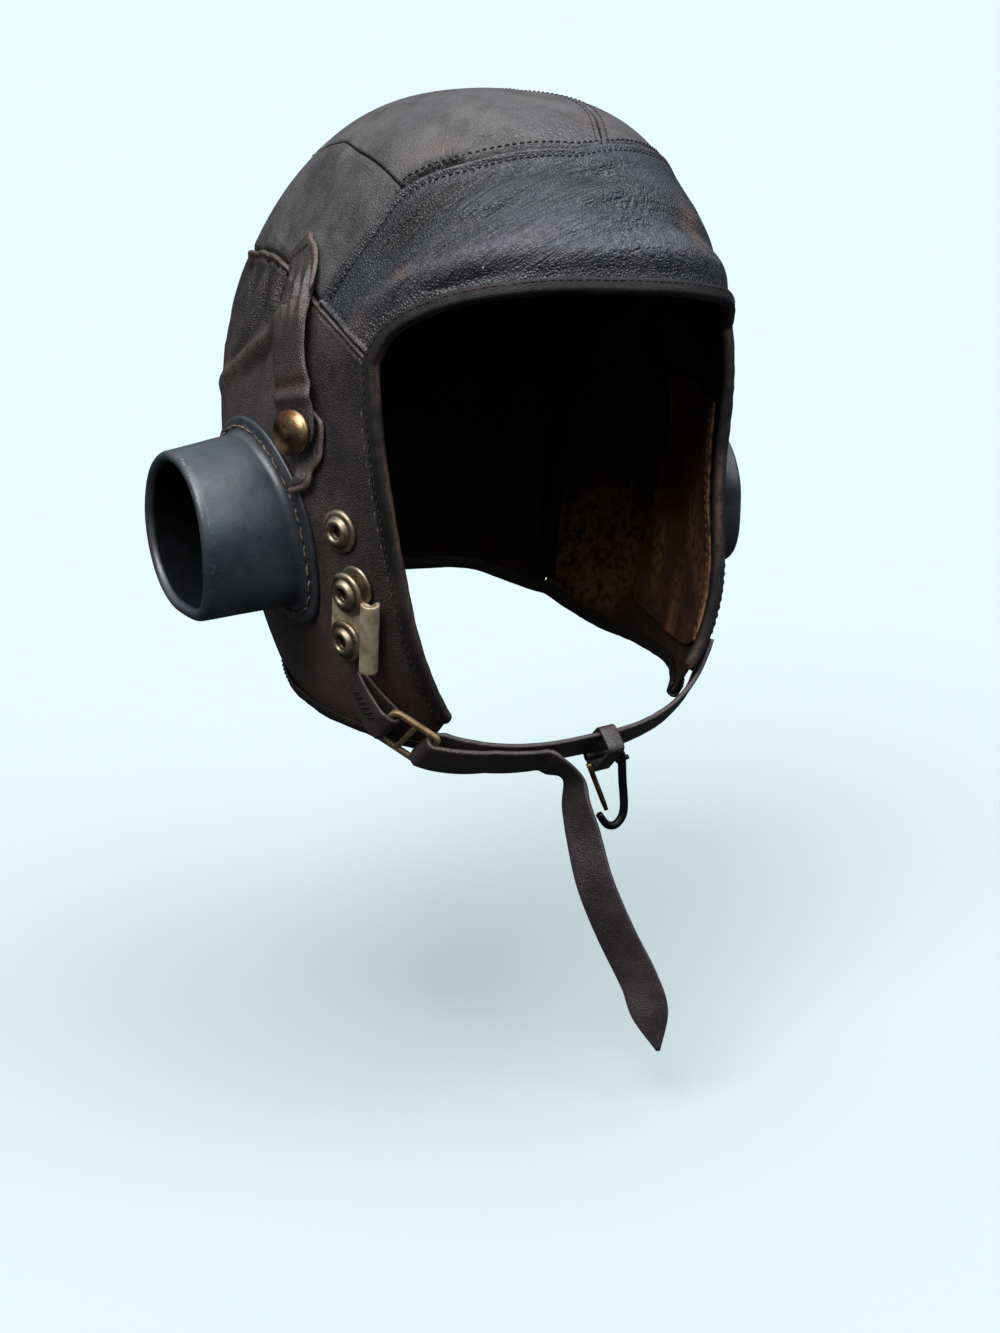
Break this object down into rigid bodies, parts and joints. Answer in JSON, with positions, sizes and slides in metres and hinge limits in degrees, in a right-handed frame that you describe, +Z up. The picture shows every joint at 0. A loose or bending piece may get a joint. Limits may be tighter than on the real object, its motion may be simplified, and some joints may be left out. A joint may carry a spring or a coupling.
{
  "type": "flying helmet",
  "caption": "Soft leather flying helmet with open rubber ear cups, press studs, mask hook plate, buckled chin strap with a hanging end, and a small spring hook.",
  "frame": {"origin": "inner top of the crown, where the wearer's head carries the helmet", "axes": "+Z up, the wearer faces -Y, and the wearer's left is +X"},
  "size_m": [0.2185, 0.2092, 0.3297],
  "materials": {
    "crown_leather": "worn matt",
    "brow_leather": "polished by wear",
    "ear_leather": "worn satin",
    "binding_leather": "satin",
    "strap_leather": "satin",
    "chamois": "suede",
    "cup_rubber": "satin",
    "brass": "aged",
    "nickel": "aged nickel plate",
    "dark_iron": "worn black"
  },
  "bodies": {
    "helmet": {"brow_panel": "brow_leather", "buckle_frame": "brass", "chin_strap": "strap_leather", "chin_tab": "strap_leather", "crown_side_left": "crown_leather", "crown_side_right": "crown_leather", "crown_top_left": "crown_leather", "crown_top_right": "crown_leather", "ear_cup_left": "cup_rubber", "ear_cup_right": "cup_rubber", "ear_section_left": "ear_leather", "ear_section_right": "ear_leather", "ear_strap_left": "strap_leather", "ear_strap_right": "strap_leather", "face_binding": "binding_leather", "hem_binding": "binding_leather", "hook_loop": "strap_leather", "lining_left": "chamois", "lining_right": "chamois", "mask_hook_plate": "nickel", "nape_panel": "crown_leather", "press_stud_left_1": "nickel", "press_stud_left_2": "nickel", "press_stud_left_3": "nickel", "press_stud_right_1": "nickel", "press_stud_right_2": "nickel", "press_stud_right_3": "nickel", "snap_cap_left": "brass", "snap_cap_right": "brass", "snap_tab_left": "strap_leather", "snap_tab_right": "strap_leather", "spring_hook": "dark_iron"},
    "gate": {"hook_gate": "brass"}
  },
  "joints": [
    {"name": "hook_gate_hinge", "type": "hinge", "parent": "helmet", "child": "gate", "pos_m": [0.00083, -0.07129, -0.22029], "axis": [0, -1, 0], "range_deg": [0, 11], "stiffness_Nm_per_rad": 0.005, "springref_deg": -11.46}
  ]
}
